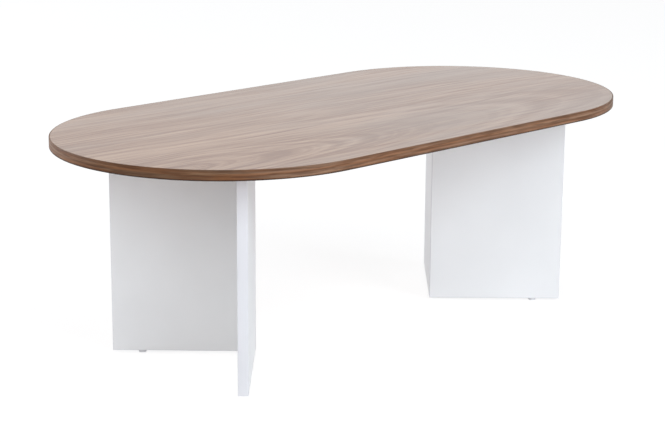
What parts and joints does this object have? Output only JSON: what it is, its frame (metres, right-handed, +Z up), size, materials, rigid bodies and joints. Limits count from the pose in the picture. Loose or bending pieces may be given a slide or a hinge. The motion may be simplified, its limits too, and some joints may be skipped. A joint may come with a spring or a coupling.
{
  "type": "coffee table",
  "caption": "Low table with a racetrack-shaped wood-decor top on two white V-shaped panel bases with screw feet, to stand in front of a sofa.",
  "frame": {"origin": "on the floor under the middle of the top, with the feet screwed in", "axes": "+X along the table's length, +Y across it, +Z up"},
  "size_m": [1.1998, 0.6, 0.41],
  "materials": {
    "walnut_decor_board": "walnut decor on particle board, satin",
    "walnut_edging": "walnut decor plastic edging, satin",
    "white_board": "white melamine on particle board, satin",
    "white_edging": "white plastic edging, satin",
    "zinc_cam_lock": "die-cast zinc alloy",
    "plated_steel": "zinc-plated steel",
    "beech_dowel": "bare beech",
    "white_cap": "moulded, satin",
    "brass_insert": "turned brass",
    "grey_nylon": "moulded nylon"
  },
  "bodies": {
    "table": {"table_top_board": "walnut_decor_board", "table_top_edging": "walnut_edging", "left_wide_panel": "white_board", "left_narrow_panel": "white_board", "left_wide_panel_end_edging": "white_edging", "left_wide_panel_corner_edging": "white_edging", "left_wide_panel_lower_edging": "white_edging", "left_narrow_panel_end_edging": "white_edging", "left_narrow_panel_lower_edging": "white_edging", "left_corner_cam_locks": "zinc_cam_lock", "left_top_cam_locks": "zinc_cam_lock", "left_corner_cam_bolts": "plated_steel", "left_top_cam_bolts": "plated_steel", "left_corner_dowels": "beech_dowel", "left_top_dowels": "beech_dowel", "left_cam_cover_caps": "white_cap", "left_foot_inserts": "brass_insert", "right_wide_panel": "white_board", "right_narrow_panel": "white_board", "right_wide_panel_end_edging": "white_edging", "right_wide_panel_corner_edging": "white_edging", "right_wide_panel_lower_edging": "white_edging", "right_narrow_panel_end_edging": "white_edging", "right_narrow_panel_lower_edging": "white_edging", "right_corner_cam_locks": "zinc_cam_lock", "right_top_cam_locks": "zinc_cam_lock", "right_corner_cam_bolts": "plated_steel", "right_top_cam_bolts": "plated_steel", "right_corner_dowels": "beech_dowel", "right_top_dowels": "beech_dowel", "right_cam_cover_caps": "white_cap", "right_foot_inserts": "brass_insert"},
    "glide_front_left": {"foot_glide_front_left": "grey_nylon"},
    "stud_front_left": {"foot_stud_front_left": "plated_steel"},
    "glide_front_right": {"foot_glide_front_right": "grey_nylon"},
    "stud_front_right": {"foot_stud_front_right": "plated_steel"},
    "glide_rear_left": {"foot_glide_rear_left": "grey_nylon"},
    "stud_rear_left": {"foot_stud_rear_left": "plated_steel"},
    "glide_rear_right": {"foot_glide_rear_right": "grey_nylon"},
    "stud_rear_right": {"foot_stud_rear_right": "plated_steel"}
  },
  "joints": [
    {"name": "foot_height_front_left", "type": "slide", "parent": "table", "child": "glide_front_left", "axis": [0, 0, -1], "range_m": [0, 0.01]},
    {"name": "stud_turn_front_left", "type": "hinge", "parent": "glide_front_left", "child": "stud_front_left", "pos_m": [-0.38091, -0.13718, 0], "axis": [0, 0, -1], "range_deg": [0, 3600.5]},
    {"name": "foot_height_front_right", "type": "slide", "parent": "table", "child": "glide_front_right", "axis": [0, 0, -1], "range_m": [0, 0.01]},
    {"name": "stud_turn_front_right", "type": "hinge", "parent": "glide_front_right", "child": "stud_front_right", "pos_m": [0.38091, -0.13718, 0], "axis": [0, 0, -1], "range_deg": [0, 3600.5]},
    {"name": "foot_height_rear_left", "type": "slide", "parent": "table", "child": "glide_rear_left", "axis": [0, 0, -1], "range_m": [0, 0.01]},
    {"name": "stud_turn_rear_left", "type": "hinge", "parent": "glide_rear_left", "child": "stud_rear_left", "pos_m": [-0.38091, 0.13718, 0], "axis": [0, 0, -1], "range_deg": [0, 3600.5]},
    {"name": "foot_height_rear_right", "type": "slide", "parent": "table", "child": "glide_rear_right", "axis": [0, 0, -1], "range_m": [0, 0.01]},
    {"name": "stud_turn_rear_right", "type": "hinge", "parent": "glide_rear_right", "child": "stud_rear_right", "pos_m": [0.38091, 0.13718, 0], "axis": [0, 0, -1], "range_deg": [0, 3600.5]}
  ],
  "couplings": [
    {"joint": "stud_turn_front_left", "follows": "foot_height_front_left", "rad_per_m": 6283.2},
    {"joint": "stud_turn_front_right", "follows": "foot_height_front_right", "rad_per_m": 6283.2},
    {"joint": "stud_turn_rear_left", "follows": "foot_height_rear_left", "rad_per_m": 6283.2},
    {"joint": "stud_turn_rear_right", "follows": "foot_height_rear_right", "rad_per_m": 6283.2}
  ]
}
